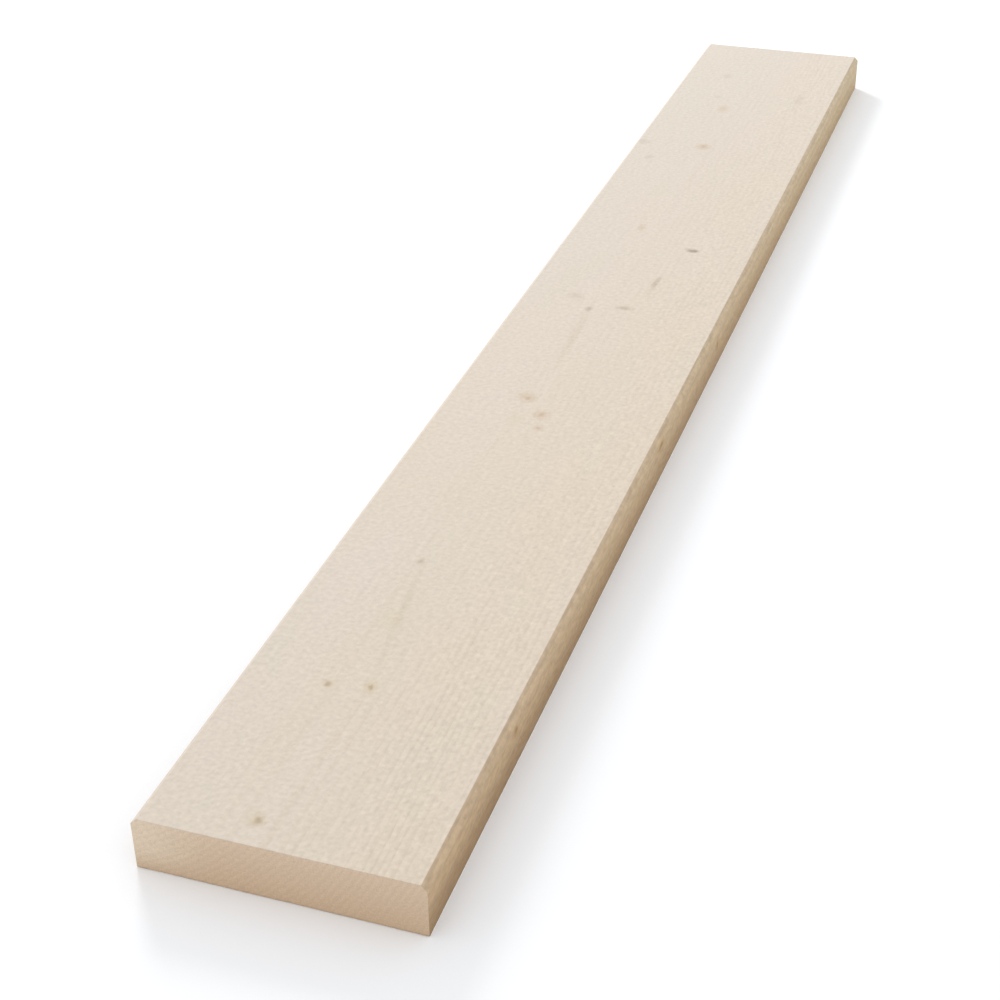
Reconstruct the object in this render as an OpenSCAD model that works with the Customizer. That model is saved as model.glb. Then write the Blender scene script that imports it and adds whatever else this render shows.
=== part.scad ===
// Sawn softwood plank with chamfered upper arrises, barely broken lower arrises and square
// crosscut ends. It lies flat on its wide face: X runs across the width, Y along the length
// and Z through the thickness. The origin is under the middle of the plank, on the surface
// it lies on.

/* [Plank] */
// Length between the two crosscut ends, along Y
plank_length = 1200; // [300:10:6000]
// Width of the wide faces, along X
plank_width = 150; // [75:1:300]
// Thickness between the wide faces, along Z
plank_thickness = 31; // [16:1:100]

/* [Arrises] */
// Leg of the 45-degree chamfer along the two upper long arrises
upper_chamfer_leg = 3.5; // [0.5:0.5:7]
// Radius to which the two lower long arrises are broken
lower_arris_radius = 0.5; // [0.25:0.25:7]

/* [Hidden] */

// Facets of a full circle; the lower arrises are quarter rounds
round_facets = 64;

half_width = plank_width / 2;
// Height on each narrow side where the flat begins, above its round, and ends, under its chamfer
side_flat_low = lower_arris_radius;
side_flat_high = plank_thickness - upper_chamfer_leg;
// Half widths of the flats left on the two wide faces
lower_flat_half = half_width - lower_arris_radius;
upper_flat_half = half_width - upper_chamfer_leg;

// Flat-sided outline of the section, anticlockwise from the lower left; it cuts straight across
// the two lower rounds
section_outline = [
    [-lower_flat_half, 0],
    [lower_flat_half, 0],
    [half_width, side_flat_low],
    [half_width, side_flat_high],
    [upper_flat_half, plank_thickness],
    [-upper_flat_half, plank_thickness],
    [-half_width, side_flat_high],
    [-half_width, side_flat_low]
];

// Cross-section of the plank, X across and Y up, standing on its lower face
module plank_section() {
    polygon(section_outline);
    for (side = [-1, 1])
        translate([side * lower_flat_half, side_flat_low])
            circle(r = lower_arris_radius, $fn = round_facets);
}

// The plank: its section run from one crosscut end to the other, in one piece
module plank() {
    color("BlanchedAlmond")
        translate([0, plank_length / 2, 0])
            rotate([90, 0, 0])
                linear_extrude(height = plank_length)
                    plank_section();
}

plank();
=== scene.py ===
"""Dresses a sawn softwood plank: its fine-sawn surface, growth rings, knots and crosscut ends."""

import math

import bpy
import numpy as np
from bpy.props import FloatProperty, FloatVectorProperty, IntProperty, PointerProperty
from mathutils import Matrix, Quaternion, Vector


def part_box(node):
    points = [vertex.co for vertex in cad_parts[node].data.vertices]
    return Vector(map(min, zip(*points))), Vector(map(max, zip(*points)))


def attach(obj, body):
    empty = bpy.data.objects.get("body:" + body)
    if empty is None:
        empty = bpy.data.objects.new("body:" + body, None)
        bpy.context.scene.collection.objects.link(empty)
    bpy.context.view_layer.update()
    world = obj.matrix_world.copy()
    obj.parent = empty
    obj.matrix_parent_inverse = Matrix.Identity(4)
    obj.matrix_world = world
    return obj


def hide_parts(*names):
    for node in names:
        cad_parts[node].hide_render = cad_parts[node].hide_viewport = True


bl_info = {
    "name": "Sawn Plank",
    "version": (1, 0, 0),
    "blender": (4, 5, 0),
    "location": "3D View > Sidebar > Plank",
    "description": "Saws a softwood plank with rings, knots and saw marks, and sets it on a studio floor",
    "category": "Add Mesh",
}

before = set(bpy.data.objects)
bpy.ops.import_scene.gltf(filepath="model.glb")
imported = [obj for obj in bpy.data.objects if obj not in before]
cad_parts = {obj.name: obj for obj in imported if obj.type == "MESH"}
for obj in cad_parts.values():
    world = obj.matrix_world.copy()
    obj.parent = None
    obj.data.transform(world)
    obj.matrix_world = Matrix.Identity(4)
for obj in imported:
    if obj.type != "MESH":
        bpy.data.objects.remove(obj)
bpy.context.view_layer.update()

NODE = "plank"
BODY = "root"
low_corner, high_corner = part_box(NODE)
WIDTH, LENGTH, THICKNESS = high_corner - low_corner
TOP = high_corner.z

# Place of the pith across the plank, as a share of the width from the left edge
PITH_SHARE = 0.40

# Marks on the wide faces: place across, a share of the width from the left edge, place along, a share
# of the length from the near end, radius across and along as shares of the width, and the slope of
# those that lean
# Dark pin knots
PIN_KNOT_SHARES = (
    (0.391, 0.0142, 0.0135, 0.015),
    (0.325, 0.1030, 0.013, 0.012),
    (0.474, 0.1062, 0.012, 0.016),
)
# Grey pin knots and a slender pocket, with no coloured ring
GREY_KNOT_SHARES = (
    (0.362, 0.2039, 0.014, 0.019),
    (0.366, 0.4895, 0.016, 0.025),
    (0.521, 0.4961, 0.036, 0.019),
    (0.5975, 0.5367, 0.0115, 0.062, 0.08),
)
# Loose knot, all bark
BARK_KNOT_SHARES = ((0.679, 0.5894, 0.036, 0.023),)
# Amber knots, cut through living branches
AMBER_KNOT_SHARES = (
    (0.480, 0.3421, 0.010, 0.012),
    (0.457, 0.3566, 0.017, 0.020),
    (0.358, 0.3722, 0.018, 0.018),
    (0.402, 0.7690, 0.019, 0.023),
)
# Faint knots that the saw has only just reached
FAINT_KNOT_SHARES = (
    (0.340, 0.3745, 0.028, 0.032),
    (0.360, 0.6156, 0.015, 0.036),
    (0.375, 0.8503, 0.028, 0.054),
)
# Faint knots without the amber
DULL_KNOT_SHARES = (
    (0.267, 0.5043, 0.034, 0.032),
    (0.144, 0.7390, 0.022, 0.030),
    (0.056, 0.7671, 0.032, 0.034),
    (0.784, 0.8867, 0.024, 0.085),
    (0.296, 0.8750, 0.018, 0.020),
    (0.271, 0.9250, 0.026, 0.034),
)
# Brown streaks along the grain
STREAK_SHARES = (
    (0.414, 0.1636, 0.017, 0.340, -0.11),
    (0.378, 0.4511, 0.022, 0.330, -0.03),
    (0.598, 0.5235, 0.012, 0.090, 0.00),
    (0.778, 0.3853, 0.008, 0.030, 0.00),
    (0.798, 0.4004, 0.008, 0.030, 0.00),
)
# Yellow resin
RESIN_SHARES = (
    (0.390, 0.1563, 0.032, 0.060, -0.05),
    (0.374, 0.0160, 0.026, 0.036, 0.00),
    (0.474, 0.1075, 0.028, 0.036, 0.00),
    (0.366, 0.3480, 0.034, 0.040, 0.00),
)
# Every kind of mark on the wide faces
MARK_SHARES = {
    "pin": PIN_KNOT_SHARES,
    "grey": GREY_KNOT_SHARES,
    "amber": AMBER_KNOT_SHARES,
    "faint": FAINT_KNOT_SHARES,
    "dull": DULL_KNOT_SHARES,
    "streak": STREAK_SHARES,
    "resin": RESIN_SHARES,
    "bark": BARK_KNOT_SHARES,
}

# Knots on the narrow sides: 1 for the right side or -1 for the left, place along as a share of the
# length, place up, and radius along and up, as shares of the thickness
SIDE_KNOT_SHARES = (
    (1, 0.1061, 0.71, 0.10, 0.09),
    (1, 0.3535, 0.78, 0.22, 0.08),
    (1, 0.4880, 0.55, 0.12, 0.10),
    (-1, 0.1120, 0.42, 0.14, 0.12),
    (-1, 0.6140, 0.63, 0.12, 0.14),
    (-1, 0.8450, 0.35, 0.12, 0.10),
)
# How far those knots reach into the plank, as a share of the thickness
KNOT_DEPTH_SHARE = 0.5

# How a mark shows: where it fades out and where it is full, in its own radii, and its weight there
STREAK_FADE = (1.4, 0.0, 0.145)
RESIN_FADE = (1.8, 0.0, 0.125)
PITCH_RING_FADE = (2.9, 0.6, 0.21)
AMBER_RING_FADE = (3.2, 0.6, 0.23)
FAINT_RING_FADE = (1.8, 0.0, 0.245)
SIDE_RING_FADE = (2.0, 0.2, 0.45)
AMBER_HEART_FADE = (1.3, 0.0, 0.22)
GREY_HEART_FADE = (1.7, 0.1, 0.29)
PIN_HEART_FADE = (1.4, 0.2, 0.33)
DULL_HEART_FADE = (1.8, 0.0, 0.135)
SIDE_HEART_FADE = (1.2, 0.0, 0.48)
BARK_FADE = (1.4, 0.1, 0.56)
# The grain swells round a knot, in ring widths
SWELL_FADE = (3.0, 0.0, 0.8)
# Dead knots sink, in saw depths
SUNKEN_FADE = (1.2, 0.4, 3.0)

# Strength of the light and dark that each pattern gives
LATE_WOOD_WEIGHT = 0.16
PLAIN_FUZZ_WEIGHT = 0.10
FACE_FUZZ_WEIGHT = 0.16
RIGHT_FUZZ_WEIGHT = 0.20
SIDE_FUZZ_WEIGHT = 0.26
PLAIN_FIBRE_WEIGHT = 0.05
END_FIBRE_WEIGHT = 0.42
SIDE_FIBRE_WEIGHT = 0.53
SIDE_RING_WEIGHT = 0.07
RIDGE_WEIGHT = 0.012
STROKE_WEIGHT = 0.065
RIGHT_STROKE_LOSS = 0.015
# Painted contact shade: how much the foot of the sides and ends darkens where they meet the floor
CONTACT_SHADE_WEIGHT = 0.22

# Lump sizes of the random patterns along X, Y and Z, in metres
KNOT_RAG_LUMPS = (0.004, 0.005, 0.004)
RING_DRIFT_LUMPS = (0.050, 0.300, 0.050)
RING_WAVER_LUMPS = (0.010, 0.045, 0.010)
RING_BREAK_LUMPS = (0.012, 0.050, 0.012)
FUZZ_LUMPS = (0.0030, 0.0028, 0.0024)
CORD_LUMPS = (0.0023, 0.0029, 0.0020)
FIBRE_LUMPS = (0.0008, 0.0200, 0.0008)
SIDE_FIBRE_LUMPS = (0.0030, 0.0080, 0.0026)
BLOTCH_LUMPS = (0.050, 0.160, 0.030)
OLIVE_LUMPS = (0.035, 0.120, 0.030)
SAW_WANDER_LUMPS = (0.120, 0.200, 0.120)
SAW_PATCH_LUMPS = (0.050, 0.090, 0.050)
SAW_WAVE_LUMPS = (0.060, 0.030, 0.020)
WEAR_LUMPS = (0.040, 0.050, 0.020)

# Grid cells over each chamfer, each broken arris and each worn end
CHAMFER_CELLS = 4
ARRIS_CELLS = 1
WORN_CELLS = 1
# Share of the length, from the middle, past which only the last row of the grid lies
LAST_ROW_SHARE = 0.4999
# Share of the end wear within which the wood shows as end grain
END_ZONE_SHARE = 0.75
# Bend between two faces from which their edge is shaded sharp
SHARP_EDGE = math.radians(35)
# Gap between the strips of the bake map, in metres
BAKE_GAP = 0.003
# Share of a face's normal along an axis from which the face counts as facing that way
FACING_SHARE = 0.5
TURN = 2 * math.pi


class PlankSizes(bpy.types.PropertyGroup):
    """Sizes of the plank's sawn surface and of the wood that shows on it."""

    chamfer_leg: FloatProperty(
        name="Chamfer leg", description="Leg of the chamfer along the upper arrises",
        default=0.0035, unit="LENGTH",
    )
    chamfer_wander: FloatProperty(
        name="Chamfer wander", description="Share by which the chamfer narrows in places",
        default=0.06, subtype="FACTOR",
    )
    arris_break: FloatProperty(
        name="Arris break", description="Leg of the flat on the broken lower arrises",
        default=0.0003, unit="LENGTH",
    )
    end_wear: FloatProperty(
        name="End wear", description="Worn edge round each crosscut end",
        default=0.0004, unit="LENGTH",
    )
    cells_across: IntProperty(
        name="Cells across", description="Grid cells over the width", default=66,
    )
    cells_along: IntProperty(
        name="Cells along", description="Grid cells over the length", default=610,
    )
    cells_through: IntProperty(
        name="Cells through", description="Grid cells over the thickness", default=12,
    )
    saw_pitch: FloatProperty(
        name="Saw pitch", description="Distance between saw marks along the plank",
        default=0.006, unit="LENGTH",
    )
    saw_depth: FloatProperty(
        name="Saw depth", description="Depth of the saw marks",
        default=0.00006, unit="LENGTH",
    )
    wave_depth: FloatProperty(
        name="Wave depth", description="Depth of the broad waves that the saw leaves",
        default=0.00015, unit="LENGTH",
    )
    ring_width: FloatProperty(
        name="Ring width", description="Width of a year's growth",
        default=0.0038, unit="LENGTH",
    )
    pith_height: FloatProperty(
        name="Pith height", description="Height of the tree's pith above the plank's upper face",
        default=0.020, unit="LENGTH",
    )
    crosscut_pitch: FloatProperty(
        name="Crosscut pitch", description="Distance between the strokes on the crosscut ends",
        default=0.0035, unit="LENGTH",
    )
    crosscut_reach: FloatProperty(
        name="Crosscut reach",
        description="Distance of the crosscut saw's axle, left of the middle and above the foot",
        default=0.120, unit="LENGTH",
    )
    knot_rag: FloatProperty(
        name="Knot rag", description="How far the edges of the knots wander",
        default=0.004, unit="LENGTH",
    )
    fibre_relief: FloatProperty(
        name="Fibre relief", description="Height of the torn fibres",
        default=0.00006, unit="LENGTH",
    )
    seed: FloatProperty(
        name="Seed", description="Start of the wood's random pattern", default=3.0,
    )


class WoodColours(bpy.types.PropertyGroup):
    """Colours of the wood."""

    cool_face: FloatVectorProperty(
        name="Cool face", description="Cooler sawn face, more of it to the left",
        default=(0.664, 0.585, 0.498), subtype="COLOR",
    )
    warm_face: FloatVectorProperty(
        name="Warm face", description="Warmer sawn face, more of it to the right",
        default=(0.677, 0.576, 0.462), subtype="COLOR",
    )
    olive_face: FloatVectorProperty(
        name="Olive face", description="Greener clouds on the sawn face",
        default=(0.655, 0.583, 0.472), subtype="COLOR",
    )
    # Painted sheen: greyer, less saturated wood towards the far end, where the light from behind glances off
    # the face
    far_face_sheen: FloatVectorProperty(
        name="Far face", description="Paler, greyer sawn face towards the far end",
        default=(0.618, 0.558, 0.489), subtype="COLOR",
    )
    late_wood: FloatVectorProperty(
        name="Late wood", description="Dense wood at the end of each ring",
        default=(0.489, 0.370, 0.256), subtype="COLOR",
    )
    near_side: FloatVectorProperty(
        name="Near side", description="Wood on the narrow sides, at the near end",
        default=(0.562, 0.392, 0.228), subtype="COLOR",
    )
    far_side: FloatVectorProperty(
        name="Far side", description="Wood on the narrow sides, at the far end",
        default=(0.531, 0.421, 0.265), subtype="COLOR",
    )
    # Painted shade: colour that darkens the narrow sides low down, towards the floor
    side_low_shade: FloatVectorProperty(
        name="Low side", description="Wood low on the narrow sides",
        default=(0.368, 0.236, 0.122), subtype="COLOR",
    )
    # Painted shade and light: the crosscut ends are darker low down and lighter high up
    end_low_shade: FloatVectorProperty(
        name="Low end grain", description="Wood low on the crosscut ends",
        default=(0.558, 0.405, 0.268), subtype="COLOR",
    )
    end_high_lit: FloatVectorProperty(
        name="High end grain", description="Wood high on the crosscut ends",
        default=(0.645, 0.491, 0.354), subtype="COLOR",
    )
    # Painted light: the crosscut ends are paler at the left, where more light reaches them
    end_left_lit: FloatVectorProperty(
        name="Pale end grain", description="Wood at the left of the crosscut ends",
        default=(0.715, 0.590, 0.450), subtype="COLOR",
    )
    amber: FloatVectorProperty(
        name="Amber", description="Ring of a living knot",
        default=(0.450, 0.240, 0.060), subtype="COLOR",
    )
    pitch: FloatVectorProperty(
        name="Pitch", description="Pitch-stained ring of a dead knot",
        default=(0.470, 0.320, 0.095), subtype="COLOR",
    )
    heart: FloatVectorProperty(
        name="Knot heart", description="Dark heart of a knot",
        default=(0.170, 0.098, 0.042), subtype="COLOR",
    )
    bark: FloatVectorProperty(
        name="Bark", description="Bark of a loose knot",
        default=(0.115, 0.072, 0.012), subtype="COLOR",
    )
    resin: FloatVectorProperty(
        name="Resin", description="Yellow resin in the grain",
        default=(0.530, 0.430, 0.190), subtype="COLOR",
    )
    streak: FloatVectorProperty(
        name="Streak", description="Brown streaks along the grain",
        default=(0.380, 0.260, 0.150), subtype="COLOR",
    )


class StudioSettings(bpy.types.PropertyGroup):
    """Camera, lights and floor."""

    camera_place: FloatVectorProperty(
        name="Camera place", description="Where the camera stands",
        default=(0.30346, -1.15812, 0.60989), subtype="TRANSLATION", unit="LENGTH",
    )
    camera_aim: FloatVectorProperty(
        name="Camera aim", description="Point in the middle of the picture",
        default=(0.00152, -0.27934, 0.03100), subtype="TRANSLATION", unit="LENGTH",
    )
    camera_roll: FloatProperty(
        name="Camera roll", description="Turn about the line of sight",
        default=math.radians(-0.775), subtype="ANGLE",
    )
    camera_lens: FloatProperty(
        name="Focal length", description="Focal length in millimetres",
        default=65.713,
    )
    camera_sensor: FloatProperty(
        name="Sensor width", description="Width of the sensor in millimetres",
        default=36.0,
    )
    key_power: FloatProperty(
        name="Key power", description="Power of the softbox behind the plank on the left, in watts",
        default=39.0,
    )
    key_distance: FloatProperty(
        name="Key distance", description="Distance of the softbox from the middle of the plank",
        default=3.0, unit="LENGTH",
    )
    key_height: FloatProperty(
        name="Key height", description="Height of the light above the horizon",
        default=math.radians(29), subtype="ANGLE",
    )
    key_heading: FloatProperty(
        name="Key heading", description="Direction that the light comes from, turned from +Y to -X",
        default=math.radians(40.5), subtype="ANGLE",
    )
    key_size: FloatProperty(
        name="Key size", description="Side of the softbox",
        default=0.72, unit="LENGTH",
    )
    fill_strength: FloatProperty(
        name="Fill strength", description="Brightness of the white surroundings",
        default=0.975,
    )
    fill_colour: FloatVectorProperty(
        name="Fill", description="Tint of the white surroundings",
        default=(0.980, 0.993, 1.012), subtype="COLOR", soft_max=1.1,
    )
    floor_size: FloatProperty(
        name="Floor size", description="Side of the floor",
        default=40.0, unit="LENGTH",
    )
    floor_colour: FloatVectorProperty(
        name="Floor", description="Plain pale floor",
        default=(0.944, 0.950, 0.958), subtype="COLOR",
    )


class Wire:
    """An output socket of a node; arithmetic on it adds Math nodes to its tree."""

    def __init__(self, graph, socket):
        self.graph = graph
        self.socket = socket

    def math(self, operation, *values):
        """One Math node on the given values, in their order."""
        return self.graph.node("ShaderNodeMath", {"operation": operation}, dict(enumerate(values)))

    def __add__(self, other):
        return self.math("ADD", self, other)

    def __radd__(self, other):
        return self.math("ADD", other, self)

    def __sub__(self, other):
        return self.math("SUBTRACT", self, other)

    def __rsub__(self, other):
        return self.math("SUBTRACT", other, self)

    def __mul__(self, other):
        return self.math("MULTIPLY", self, other)

    def __rmul__(self, other):
        return self.math("MULTIPLY", other, self)

    def __truediv__(self, other):
        return self.math("DIVIDE", self, other)

    def __rtruediv__(self, other):
        return self.math("DIVIDE", other, self)

    def __gt__(self, other):
        return self.math("GREATER_THAN", self, other)

    def __neg__(self):
        return self.math("MULTIPLY", self, -1.0)

    def __abs__(self):
        return self.math("ABSOLUTE", self)

    def at_least(self, other):
        return self.math("MAXIMUM", self, other)

    def at_most(self, other):
        return self.math("MINIMUM", self, other)

    def root(self):
        return self.math("SQRT", self)

    def sine(self):
        return self.math("SINE", self)

    def sign(self):
        return self.math("SIGN", self)

    def fraction(self):
        return self.math("FRACT", self)

    def rise(self, start, end):
        """0 up to start, 1 from end on, and a smooth rise between them; it falls where end is the smaller."""
        return self.graph.node(
            "ShaderNodeMapRange",
            {"interpolation_type": "SMOOTHSTEP"},
            {"Value": self, "From Min": start, "From Max": end},
        )


class Graph:
    """A node tree that is being built."""

    def __init__(self, tree):
        self.tree = tree

    def node(self, kind, settings=None, sockets=None, output=None):
        """Adds a node: its settings first, then its sockets' values or links. Returns one output."""
        made = self.tree.nodes.new(kind)
        for name, value in (settings or {}).items():
            setattr(made, name, value)
        for key, value in (sockets or {}).items():
            socket = self.pick(made.inputs, key)
            if isinstance(value, Wire):
                self.tree.links.new(value.socket, socket)
            else:
                socket.default_value = value
        return Wire(self, self.pick(made.outputs, output)) if made.outputs else None

    @staticmethod
    def pick(sockets, key):
        """A socket by its number or name; only the ones in use have a name that counts."""
        if isinstance(key, int):
            return sockets[key]
        in_use = [socket for socket in sockets if socket.enabled]
        return in_use[0] if key is None else next(socket for socket in in_use if socket.name == key)

    def inputs(self, kinds):
        """Named inputs of a node group, as wires in their order."""
        for name, kind in kinds.items():
            self.tree.interface.new_socket(name=name, in_out="INPUT", socket_type=kind)
        made = self.tree.nodes.new("NodeGroupInput")
        return [Wire(self, self.pick(made.outputs, name)) for name in kinds]

    def vector(self, operation, *values, output=None):
        """One Vector Math node on the given values, in their order."""
        return self.node("ShaderNodeVectorMath", {"operation": operation}, dict(enumerate(values)), output)

    def split(self, place):
        """The three parts of a vector."""
        return [self.node("ShaderNodeSeparateXYZ", {}, {0: place}, name) for name in "XYZ"]

    def joined(self, *parts):
        """A vector from its three parts."""
        return self.node("ShaderNodeCombineXYZ", {}, dict(enumerate(parts)))

    def noise(self, place, sizes, seed, detail=2.0, output="Fac"):
        """Smooth noise, mostly from 0.3 to 0.7, whose lumps have the given sizes along X, Y and Z."""
        scaled = self.vector("MULTIPLY", place, [1 / size for size in sizes])
        return self.node(
            "ShaderNodeTexNoise",
            {"noise_dimensions": "4D"},
            {"Vector": scaled, "W": seed, "Scale": 1.0, "Detail": detail},
            output,
        )

    def mixed(self, share, first, second):
        """A colour between two others."""
        return self.node(
            "ShaderNodeMix",
            {"data_type": "RGBA", "clamp_factor": True},
            {"Factor": share, "A": self.opaque(first), "B": self.opaque(second)},
        )

    @staticmethod
    def opaque(colour):
        """A colour as a colour socket takes it."""
        return colour if isinstance(colour, Wire) else (*colour, 1.0)

    def scaled(self, vector, share):
        """A colour or vector times a number."""
        return self.node("ShaderNodeVectorMath", {"operation": "SCALE"}, {0: vector, "Scale": share})


def least(wires):
    """The smallest of several numbers."""
    smallest = wires[0]
    for wire in wires[1:]:
        smallest = smallest.at_most(wire)
    return smallest


def faded(distance, fade):
    """A mark's weight at a distance from it: none past where it fades out, all within where it is full."""
    outer, inner, weight = fade
    return distance.rise(outer, inner) * weight


def wide_face_knots(graph, place, pith_height, shares):
    """Distance from the nearest of some branches, in their own radii. Branches fan out from the pith."""
    across, along, up = graph.split(place)
    pith_across = (PITH_SHARE - 0.5) * WIDTH
    shrink = pith_height / (pith_height + TOP - up)
    fan = graph.joined((across - pith_across) * shrink, along * shrink, 0.0)
    spread = graph.joined(1.0, shrink, 0.0)
    distances = []
    for across_share, along_share, across_radius, along_radius, *lean in shares:
        centre = ((PITH_SHARE - across_share) * WIDTH, (0.5 - along_share) * LENGTH, 0.0)
        offset = graph.vector("MULTIPLY_ADD", spread, centre, fan)
        if lean and lean[0]:
            offset = graph.node(
                "ShaderNodeVectorRotate",
                {"rotation_type": "Z_AXIS"},
                {"Vector": offset, "Angle": math.atan(lean[0])},
            )
        per_radius = (1 / across_radius / WIDTH, 1 / along_radius / WIDTH, 0.0)
        in_radii = graph.vector("MULTIPLY", offset, per_radius)
        distances.append(graph.vector("LENGTH", in_radii, output="Value"))
    return least(distances)


def side_knots(graph, place):
    """Distance from the nearest branch cut on a narrow side, in its own radii."""
    distances = []
    for side, along_share, up_share, along_radius, up_radius in SIDE_KNOT_SHARES:
        centre = (side * WIDTH / 2, (along_share - 0.5) * LENGTH, up_share * THICKNESS)
        radii = [share * THICKNESS for share in (KNOT_DEPTH_SHARE, along_radius, up_radius)]
        offset = graph.vector("SUBTRACT", place, centre)
        distances.append(graph.vector("LENGTH", graph.vector("DIVIDE", offset, radii), output="Value"))
    return least(distances)


def saw_marks(graph, place, pitch, seed):
    """Ridges left across the wide faces by the saw, from 0 to 1, and how clearly they show."""
    across, along, _ = graph.split(place)
    wander = graph.noise(place, SAW_WANDER_LUMPS, seed)
    turns = along / pitch + across / WIDTH * 2.7 + wander * 5.0
    ridge = (turns * TURN).sine() * 0.5 + 0.5
    patches = graph.noise(place, SAW_PATCH_LUMPS, seed + 1.0).rise(0.35, 0.65)
    left = (across / WIDTH).rise(0.2, -0.2)
    return ridge, patches * (left * 0.75 + 0.25)


def set_out(place, half, cells, edges):
    """Moves evenly spaced grid lines so that the last few of them cover each edge zone, widest zone first."""
    share = abs(place) / half
    marks = [(0.0, 0.0)]
    marks += [(1.0 - 2.0 * count / cells, half - width) for width, count in edges]
    marks += [(1.0, half)]
    lines = []
    for (start, low), (end, high) in zip(marks, marks[1:]):
        lines.append(low + (share - start) * ((high - low) / (end - start)))
    return place.sign() * least(lines)


def corner_cut(across, up, half_width, half_height, leg):
    """How far a 45-degree chamfer draws each place in a section's corner in, along both axes alike."""
    rim_across = (abs(across) - (half_width - leg)).at_least(0.0)
    rim_up = (up - (half_height - leg)).at_least(0.0)
    return rim_across * rim_up / (leg * 2.0)


def plank_tree():
    """Geometry Nodes that saw the plank: a gridded block, its arrises cut and its faces roughened."""
    graph = Graph(bpy.data.node_groups.new("Sawn plank", "GeometryNodeTree"))
    number, whole = "NodeSocketFloat", "NodeSocketInt"
    kinds = {
        "Length": number, "Width": number, "Thickness": number, "Chamfer leg": number,
        "Chamfer wander": number, "Arris break": number, "End wear": number, "Cells across": whole,
        "Cells along": whole, "Cells through": whole, "Saw pitch": number, "Saw depth": number,
        "Wave depth": number, "Pith height": number, "Seed": number, "Material": "NodeSocketMaterial",
    }
    wires = graph.inputs(kinds)
    length, width, thickness, chamfer, wander, arris, wear, cells_x, cells_y, cells_z = wires[:10]
    pitch, saw_depth, wave_depth, pith_height, seed, material = wires[10:]
    graph.tree.interface.new_socket(name="Geometry", in_out="OUTPUT", socket_type="NodeSocketGeometry")

    block = graph.node("GeometryNodeMeshCube", {}, {
        "Size": graph.joined(width, length, thickness),
        "Vertices X": cells_x + 1.0, "Vertices Y": cells_y + 1.0, "Vertices Z": cells_z + 1.0,
    }, "Mesh")
    place = graph.node("GeometryNodeInputPosition")
    x, y, z = graph.split(place)
    half_width, half_height = width / 2.0, thickness / 2.0
    across = set_out(x, half_width, cells_x, [(chamfer, CHAMFER_CELLS), (arris, ARRIS_CELLS)])
    along = set_out(y, length / 2.0, cells_y, [(wear, WORN_CELLS)])
    upper = set_out(z, half_height, cells_z, [(chamfer, CHAMFER_CELLS)])
    lower = set_out(z, half_height, cells_z, [(arris, ARRIS_CELLS)])
    up = lower + (upper - lower) * (z > 0.0)

    lumps = graph.noise(place, WEAR_LUMPS, seed)
    leg = chamfer * (1.0 - wander * lumps)
    upper_cut = corner_cut(across, up, half_width, half_height, leg)
    lower_cut = corner_cut(across, -up, half_width, half_height, arris)
    worn = wear * lumps * 2.0 * (abs(y) > length * LAST_ROW_SHARE)
    new_x = across.sign() * (abs(across) - upper_cut - lower_cut) * (1.0 - worn / half_width)
    new_z = (up - upper_cut + lower_cut) * (1.0 - worn / half_height)
    cut = graph.node("GeometryNodeSetPosition", {}, {
        "Geometry": block, "Position": graph.joined(new_x, along, new_z + half_height),
    })

    ridge, clear = saw_marks(graph, place, pitch, seed)
    waves = graph.noise(place, SAW_WAVE_LUMPS, seed + 2.0)
    dead_knots = wide_face_knots(graph, place, pith_height, PIN_KNOT_SHARES + BARK_KNOT_SHARES)
    sunk = saw_depth * ((1.0 - ridge) * clear + faded(dead_knots, SUNKEN_FADE)) + wave_depth * waves
    normal = graph.node("GeometryNodeInputNormal")
    sawn = graph.node("GeometryNodeSetPosition", {}, {
        "Geometry": cut, "Offset": graph.scaled(normal, -sunk),
    })
    soft = graph.node("GeometryNodeSetShadeSmooth", {"domain": "FACE"}, {"Geometry": sawn})
    bend = graph.node("GeometryNodeInputMeshEdgeAngle", output="Unsigned Angle")
    crisp = graph.node("GeometryNodeSetShadeSmooth", {"domain": "EDGE"}, {
        "Geometry": soft, "Selection": bend > SHARP_EDGE, "Shade Smooth": False,
    })
    real = graph.node("GeometryNodeRealizeInstances", {}, {"Geometry": crisp})
    dressed = graph.node("GeometryNodeSetMaterial", {}, {"Geometry": real, "Material": material})
    graph.node("NodeGroupOutput", {}, {"Geometry": dressed})
    return graph.tree


class Spot:
    """A point in the wood: its place, its shares of the plank's sizes, and the faces that it shows on."""

    def __init__(self, graph, sizes):
        self.graph = graph
        self.sizes = sizes
        self.place = graph.node("ShaderNodeTexCoord", output="Object")
        self.across, self.along, self.up = graph.split(self.place)
        self.across_share = self.across / WIDTH
        self.along_share = self.along / LENGTH
        self.up_share = self.up / THICKNESS
        self.right_half = self.across_share.rise(-0.10, 0.30)
        self.end, self.side, self.face = self.zones()

    def zones(self):
        """The crosscut ends, narrow sides and wide faces; the left chamfer counts as a wide face."""
        sizes = self.sizes
        end = abs(self.along) > LENGTH / 2 - sizes.end_wear * END_ZONE_SHARE
        crease = WIDTH / 2 - sizes.chamfer_leg
        above_floor = self.up.rise(sizes.arris_break, 2 * sizes.arris_break)
        right_flank = self.across.rise(crease, crease + sizes.arris_break)
        under_chamfer = self.up.rise(TOP - sizes.chamfer_leg, TOP - 2 * sizes.chamfer_leg)
        left_flank = (-self.across).rise(crease, crease + sizes.arris_break) * under_chamfer
        side = (right_flank + left_flank) * above_floor * (1.0 - end)
        return end, side, (1.0 - side) * (1.0 - end)

    def noise(self, lumps, step, detail=2.0, output="Fac"):
        """Noise with lumps of the given sizes; each step of the seed gives another pattern."""
        return self.graph.noise(self.place, lumps, self.sizes.seed + step, detail, output)


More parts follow.
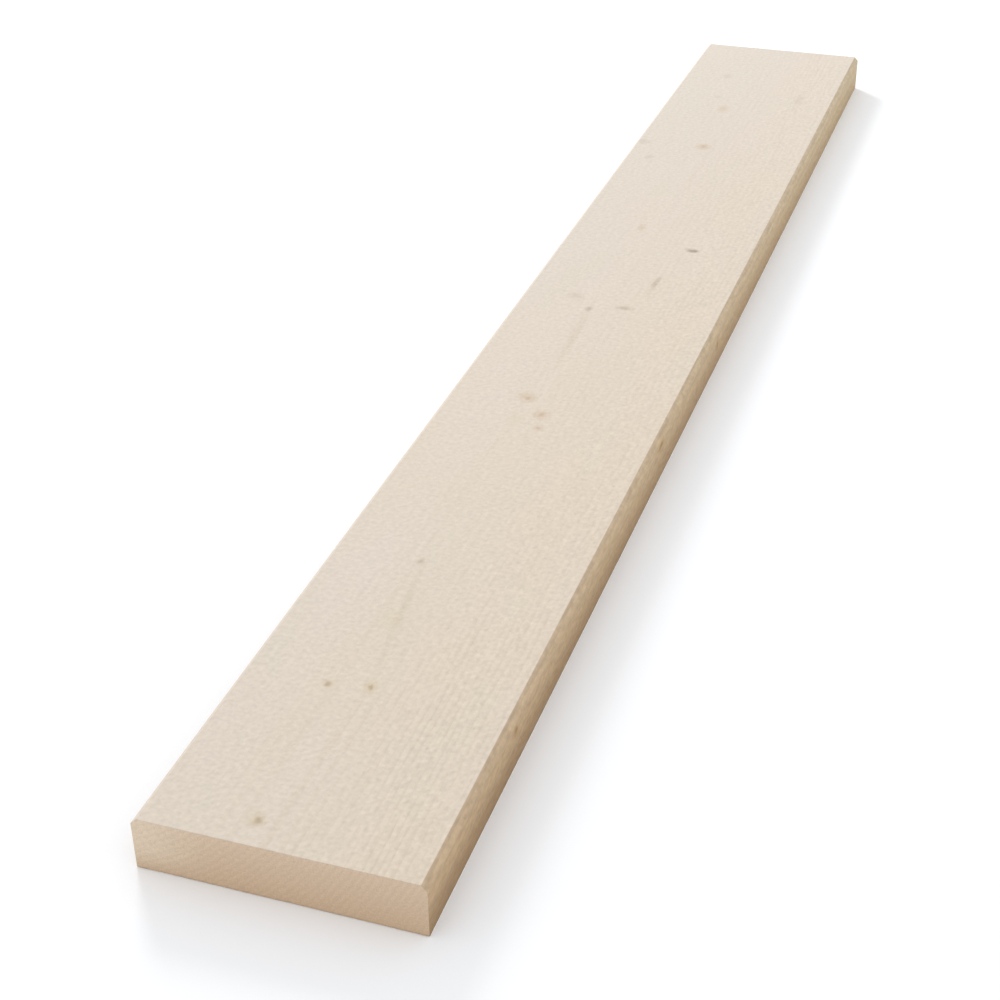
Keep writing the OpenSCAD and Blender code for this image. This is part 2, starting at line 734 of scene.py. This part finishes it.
def mark_distances(spot):
    """Distance from the nearest mark of each kind, in its own radii, with ragged edges."""
    graph, sizes = spot.graph, spot.sizes
    rag = graph.vector("SUBTRACT", spot.noise(KNOT_RAG_LUMPS, 4.0, output="Color"), (0.5, 0.5, 0.5))
    ragged = graph.vector("MULTIPLY_ADD", rag, [sizes.knot_rag] * 3, spot.place)
    marks = {}
    for kind, shares in MARK_SHARES.items():
        marks[kind] = wide_face_knots(graph, ragged, sizes.pith_height, shares)
    marks["side"] = side_knots(graph, ragged)
    return marks


def late_wood(spot, swell):
    """The dense wood at the end of each year's ring, from 0 to 1, as the saw has cut through it."""
    sizes = spot.sizes
    drift = spot.noise(RING_DRIFT_LUMPS, 5.0) - 0.5
    waver = spot.noise(RING_WAVER_LUMPS, 9.0) - 0.5
    from_pith = spot.across - (PITH_SHARE - 0.5) * WIDTH + (drift * 2.5 + waver) * sizes.ring_width
    below_pith = sizes.pith_height + TOP - spot.up
    radius = (from_pith * from_pith + below_pith * below_pith).root()
    ring = (radius / sizes.ring_width + swell).fraction()
    return ring.rise(0.30, 0.85) * ring.rise(1.0, 0.90)


def ring_lines(spot, marks):
    """Late wood as it shows: broken up on the wide faces, whole on the sides, half as strong on the ends."""
    late = late_wood(spot, faded(marks["pin"], SWELL_FADE) + faded(marks["amber"], SWELL_FADE))
    broken = spot.noise(RING_BREAK_LUMPS, 10.0).rise(0.35, 0.65)
    clear = (0.35 + 0.65 * broken) * (0.72 + 0.82 * spot.along_share.rise(-0.22, -0.50))
    clear = clear * (0.25 + 0.75 * spot.across_share.rise(-0.45, 0.35))
    return late * (spot.face * clear + spot.side + spot.end * 0.5)


def face_colour(spot, colours):
    """Clean wood of the wide faces: warmer to the right, with olive clouds, and greyer towards the far end,
    where the sheen of the light from behind is painted in.
    """
    graph = spot.graph
    blotch = spot.noise(BLOTCH_LUMPS, 8.0).rise(0.3, 0.7)
    warm = blotch * 0.4 + spot.across_share.rise(-0.4, 0.4) * 0.6
    colour = graph.mixed(warm, colours.cool_face, colours.warm_face)
    olive = spot.noise(OLIVE_LUMPS, 12.0).rise(0.45, 0.70)
    colour = graph.mixed(olive * 0.5, colour, colours.olive_face)
    # Painted sheen towards the far end
    far = spot.along_share.rise(-0.25, 0.45) * (0.68 - spot.right_half * 0.16)
    return graph.mixed(far, colour, colours.far_face_sheen)


def side_colour(spot, colours, face):
    """Clean wood of the narrow sides, with painted shade that darkens it low down and painted light that
    brightens it towards the far end; closer to the wide faces on the left.
    """
    graph = spot.graph
    colour = graph.mixed(spot.along_share + 0.5, colours.near_side, colours.far_side)
    # Painted shade: the sides darken low down, most at the near end
    low = spot.up_share.rise(0.85, 0.0) * (0.80 - spot.along_share * 0.74)
    colour = graph.mixed(low, colour, colours.side_low_shade)
    # Painted light: the sides brighten towards the far end
    colour = graph.scaled(colour, 1.0 + spot.along_share * 0.16)
    colour = graph.mixed(spot.up_share.rise(0.80, 1.0) * 0.25, colour, face)
    return graph.mixed(spot.across_share.rise(0.1, -0.1) * 0.5, colour, face)


def end_colour(spot, colours, face):
    """Clean wood of the crosscut ends, with painted shade that darkens it low down and painted light that
    makes it paler high up at the left; closer to the wide faces at the far end.
    """
    graph = spot.graph
    # Painted shade low on the ends, painted light high up
    colour = graph.mixed(spot.up_share, colours.end_low_shade, colours.end_high_lit)
    # Painted light: paler high up at the left of the ends
    pale = spot.across_share.rise(-0.18, -0.48) * spot.up_share.rise(-0.1, 0.5) * 0.75
    colour = graph.mixed(pale, colour, colours.end_left_lit)
    return graph.mixed(spot.along_share.rise(-0.1, 0.1) * 0.4, colour, face)


def knot_rings(spot, marks):
    """How strongly the amber round the living knots shows."""
    rings = faded(marks["amber"], AMBER_RING_FADE).at_least(faded(marks["faint"], FAINT_RING_FADE))
    return (rings * spot.face).at_least(faded(marks["side"], SIDE_RING_FADE) * spot.side)


def knot_hearts(spot, marks):
    """How strongly the dark hearts of the knots show."""
    hearts = faded(marks["amber"], AMBER_HEART_FADE).at_least(faded(marks["grey"], GREY_HEART_FADE))
    hearts = hearts.at_least(faded(marks["pin"], PIN_HEART_FADE))
    hearts = hearts.at_least(faded(marks["dull"], DULL_HEART_FADE))
    return (hearts * spot.face).at_least(faded(marks["side"], SIDE_HEART_FADE) * spot.side)


def wood_colour(spot, colours, marks, late, rings):
    """The wood's colour: its clean faces, then its rings, streaks, resin, knots and bark."""
    graph = spot.graph
    face = face_colour(spot, colours)
    colour = graph.mixed(spot.side, face, side_colour(spot, colours, face))
    colour = graph.mixed(spot.end, colour, end_colour(spot, colours, face))
    colour = graph.mixed(late * LATE_WOOD_WEIGHT, colour, colours.late_wood)
    colour = graph.mixed(faded(marks["streak"], STREAK_FADE) * spot.face, colour, colours.streak)
    colour = graph.mixed(faded(marks["resin"], RESIN_FADE) * spot.face, colour, colours.resin)
    colour = graph.mixed(faded(marks["pin"], PITCH_RING_FADE) * spot.face, colour, colours.pitch)
    colour = graph.mixed(rings, colour, colours.amber)
    colour = graph.mixed(knot_hearts(spot, marks), colour, colours.heart)
    return graph.mixed(faded(marks["bark"], BARK_FADE) * spot.face, colour, colours.bark)


def crosscut_strokes(spot, fuzz):
    """Curved strokes that the crosscut saw leaves on the ends, from 0 to 1."""
    sizes = spot.sizes
    stroke_across = spot.across + sizes.crosscut_reach
    stroke_up = spot.up - sizes.crosscut_reach
    strokes = (stroke_across * stroke_across + stroke_up * stroke_up).root() / sizes.crosscut_pitch
    return ((strokes + fuzz * 1.5) * TURN).sine() * 0.5 + 0.5


def sawn_surface(spot, late):
    """The sawn surface: its light and dark, around 1, with painted contact shade along the foot of the sides
    and ends, its fuzz, around 0, and its height in metres.
    """
    end, side, face = spot.end, spot.side, spot.face
    fuzz = spot.noise(FUZZ_LUMPS, 7.0, detail=1.5)
    cords = spot.noise(CORD_LUMPS, 11.0, detail=1.5)
    fibres = spot.noise(FIBRE_LUMPS, 6.0)
    side_fibres = spot.noise(SIDE_FIBRE_LUMPS, 13.0)
    ridge, clear = saw_marks(spot.graph, spot.place, spot.sizes.saw_pitch, spot.sizes.seed)
    strokes = crosscut_strokes(spot, fuzz)

    wild = 1.08 - spot.along_share * 0.14
    lumps = (fuzz + (cords - fuzz) * spot.right_half * 0.6 - 0.5) * wild
    face_fuzz = face * (FACE_FUZZ_WEIGHT + spot.right_half * RIGHT_FUZZ_WEIGHT)
    shade = 1.0 + lumps * (PLAIN_FUZZ_WEIGHT + face_fuzz + side * SIDE_FUZZ_WEIGHT)
    shade = shade + (fibres - 0.5) * (PLAIN_FIBRE_WEIGHT + end * END_FIBRE_WEIGHT)
    shade = shade + side * ((side_fibres - 0.5) * SIDE_FIBRE_WEIGHT - late * SIDE_RING_WEIGHT)
    shade = shade + (ridge - 0.5) * clear * face * RIDGE_WEIGHT
    shade = shade + (strokes - 0.5) * end * (STROKE_WEIGHT - spot.right_half * RIGHT_STROKE_LOSS)
    # Painted contact shade: the lowest 6 per cent of the thickness on the sides and ends darkens towards the
    # floor
    shade = shade - spot.up_share.rise(0.06, 0.0) * (1.0 - face) * CONTACT_SHADE_WEIGHT

    torn = fibres * (0.7 + end) + lumps * (2.0 + face * 4.4 + side * 1.6)
    torn = torn + late * face * 0.7 + strokes * end
    return shade, lumps, torn * spot.sizes.fibre_relief


def wood_material(sizes, colours):
    """Bare fine-sawn spruce, cut through as a solid block so that all its faces belong together."""
    material = bpy.data.materials.new("bare_sawn_spruce")
    material.use_nodes = True
    material.node_tree.nodes.clear()
    graph = Graph(material.node_tree)
    spot = Spot(graph, sizes)
    marks = mark_distances(spot)
    late = ring_lines(spot, marks)
    rings = knot_rings(spot, marks)
    shade, lumps, height = sawn_surface(spot, late)
    relief = graph.node("ShaderNodeBump", {}, {"Strength": 1.0, "Distance": 1.0, "Height": height})
    surface = graph.node("ShaderNodeBsdfPrincipled", {}, {
        "Base Color": graph.scaled(wood_colour(spot, colours, marks, late, rings), shade),
        "Roughness": 0.82 + lumps * 0.2 - late * 0.06 - rings * 0.15,
        "Normal": relief,
        "Specular IOR Level": 0.3,
    })
    graph.node("ShaderNodeOutputMaterial", {}, {"Surface": surface})
    return material


def floor_material(colour):
    """Plain pale floor."""
    material = bpy.data.materials.new("studio_floor")
    material.use_nodes = True
    material.node_tree.nodes.clear()
    graph = Graph(material.node_tree)
    surface = graph.node("ShaderNodeBsdfDiffuse", {}, {"Color": (*colour, 1.0)})
    graph.node("ShaderNodeOutputMaterial", {}, {"Surface": surface})
    return material


def gathered(items, name, width, kind=np.float32):
    """One property of all the items of a mesh, as an array with a row for each item."""
    values = np.empty(len(items) * width, kind)
    items.foreach_get(name, values)
    return values.reshape(-1, width)


def lay_out(mesh):
    """Bake map: half-length strips of the long faces side by side, and the two ends in a row above them."""
    corners = gathered(mesh.loops, "vertex_index", 1, np.int32).ravel()
    places = gathered(mesh.vertices, "co", 3)[corners] - np.array(low_corner)
    counts = gathered(mesh.polygons, "loop_total", 1, np.int32).ravel()
    facing = np.repeat(gathered(mesh.polygons, "normal", 3), counts, axis=0)
    in_far_half = np.repeat(gathered(mesh.polygons, "center", 3)[:, 1] > 0.0, counts)

    half_length = LENGTH / 2
    on_end = abs(facing[:, 1]) > FACING_SHARE
    on_top = ~on_end & (facing[:, 2] > FACING_SHARE)
    on_bottom = ~on_end & (facing[:, 2] < -FACING_SHARE)
    on_side = ~on_end & ~on_top & ~on_bottom
    on_left = on_side & (facing[:, 0] < 0.0)
    on_right = on_side & (facing[:, 0] > 0.0)
    strips = (
        (on_top, 0, WIDTH),
        (on_bottom, 0, WIDTH),
        (on_left, 2, THICKNESS),
        (on_right, 2, THICKNESS),
    )
    spots = np.zeros((len(corners), 2))
    edge = BAKE_GAP
    for zone, axis, width in strips:
        for far in (False, True):
            chosen = zone & (in_far_half == far)
            spots[chosen, 0] = edge + places[chosen, axis]
            spots[chosen, 1] = BAKE_GAP + places[chosen, 1] - half_length * far
            edge += width + BAKE_GAP
    for far in (False, True):
        chosen = on_end & (in_far_half == far)
        spots[chosen, 0] = BAKE_GAP + (WIDTH + BAKE_GAP) * far + places[chosen, 0]
        spots[chosen, 1] = half_length + 2 * BAKE_GAP + places[chosen, 2]
    spots /= (edge, half_length + THICKNESS + 3 * BAKE_GAP)
    layer = mesh.uv_layers.new(name="OFBake")
    layer.data.foreach_set("uv", spots.astype(np.float32).ravel())


class PLANK_OT_saw(bpy.types.Operator):
    """Saw the plank and give it its wood"""

    bl_idname = "plank.saw"
    bl_label = "Saw Plank"

    def execute(self, context):
        sizes = context.scene.plank_sizes
        material = wood_material(sizes, context.scene.plank_colours)
        tree = plank_tree()
        values = {
            "Length": LENGTH, "Width": WIDTH, "Thickness": THICKNESS, "Chamfer leg": sizes.chamfer_leg,
            "Chamfer wander": sizes.chamfer_wander, "Arris break": sizes.arris_break,
            "End wear": sizes.end_wear, "Cells across": sizes.cells_across,
            "Cells along": sizes.cells_along, "Cells through": sizes.cells_through,
            "Saw pitch": sizes.saw_pitch, "Saw depth": sizes.saw_depth, "Wave depth": sizes.wave_depth,
            "Pith height": sizes.pith_height, "Seed": sizes.seed, "Material": material,
        }
        rough = bpy.data.objects.new("rough_plank", bpy.data.meshes.new("rough_plank"))
        context.scene.collection.objects.link(rough)
        modifier = rough.modifiers.new("Sawn plank", "NODES")
        modifier.node_group = tree
        for item in tree.interface.items_tree:
            if item.in_out == "INPUT":
                modifier[item.identifier] = values[item.name]
        context.view_layer.update()
        evaluated = rough.evaluated_get(context.evaluated_depsgraph_get())
        mesh = bpy.data.meshes.new_from_object(evaluated)
        bpy.data.objects.remove(rough)
        if not mesh.polygons:
            raise RuntimeError("the plank came out with no faces")
        mesh.name = "sawn_plank"
        lay_out(mesh)
        plank = bpy.data.objects.new("sawn_plank", mesh)
        context.scene.collection.objects.link(plank)
        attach(plank, BODY)
        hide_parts(NODE)
        return {"FINISHED"}


class PLANK_OT_studio(bpy.types.Operator):
    """Set up the floor, the lights and the camera"""

    bl_idname = "plank.studio"
    bl_label = "Set Up Studio"

    def execute(self, context):
        studio = context.scene.plank_studio
        scene = context.scene

        reach = studio.floor_size / 2
        corners = [(-reach, -reach, 0.0), (reach, -reach, 0.0), (reach, reach, 0.0), (-reach, reach, 0.0)]
        mesh = bpy.data.meshes.new("studio_floor")
        mesh.from_pydata(corners, [], [(0, 1, 2, 3)])
        mesh.materials.append(floor_material(studio.floor_colour))
        floor = bpy.data.objects.new("studio_floor", mesh)
        scene.collection.objects.link(floor)

        key = bpy.data.lights.new("softbox", "AREA")
        key.energy = studio.key_power
        key.size = studio.key_size
        lamp = bpy.data.objects.new("softbox", key)
        flat = math.cos(studio.key_height)
        towards = Vector((
            -math.sin(studio.key_heading) * flat,
            math.cos(studio.key_heading) * flat,
            math.sin(studio.key_height),
        ))
        lamp.location = towards * studio.key_distance
        lamp.rotation_euler = towards.to_track_quat("Z", "Y").to_euler()
        scene.collection.objects.link(lamp)

        world = bpy.data.worlds.new("white_surroundings")
        world.use_nodes = True
        world.node_tree.nodes["Background"].inputs["Color"].default_value = (*studio.fill_colour, 1.0)
        world.node_tree.nodes["Background"].inputs["Strength"].default_value = studio.fill_strength
        scene.world = world

        lens = bpy.data.cameras.new("photo_camera")
        lens.sensor_width = studio.camera_sensor
        lens.lens = studio.camera_lens
        camera = bpy.data.objects.new("photo_camera", lens)
        place = Vector(studio.camera_place)
        sight = (Vector(studio.camera_aim) - place).to_track_quat("-Z", "Y")
        camera.rotation_mode = "QUATERNION"
        camera.rotation_quaternion = sight @ Quaternion((0.0, 0.0, 1.0), studio.camera_roll)
        camera.location = place
        scene.collection.objects.link(camera)
        scene.camera = camera
        scene.view_settings.view_transform = "Standard"
        return {"FINISHED"}


class PLANK_PT_sidebar(bpy.types.Panel):
    """Lists the plank's sizes and colours and the steps that make it"""

    bl_idname = "PLANK_PT_sidebar"
    bl_label = "Sawn Plank"
    bl_space_type = "VIEW_3D"
    bl_region_type = "UI"
    bl_category = "Plank"

    def draw(self, context):
        for step in STEPS:
            self.layout.operator(step.bl_idname)
        for settings in SETTINGS:
            group = getattr(context.scene, settings)
            for name in group.bl_rna.properties.keys():
                if name not in ("name", "rna_type"):
                    self.layout.prop(group, name)


STEPS = (PLANK_OT_saw, PLANK_OT_studio)
SETTINGS = {"plank_sizes": PlankSizes, "plank_colours": WoodColours, "plank_studio": StudioSettings}


def register():
    for part in (*SETTINGS.values(), *STEPS, PLANK_PT_sidebar):
        bpy.utils.register_class(part)
    for name, group in SETTINGS.items():
        setattr(bpy.types.Scene, name, PointerProperty(type=group))


def unregister():
    for name in SETTINGS:
        delattr(bpy.types.Scene, name)
    for part in (PLANK_PT_sidebar, *STEPS, *SETTINGS.values()):
        bpy.utils.unregister_class(part)


def main():
    register()
    bpy.ops.plank.saw()
    bpy.ops.plank.studio()


if __name__ == "__main__":
    main()
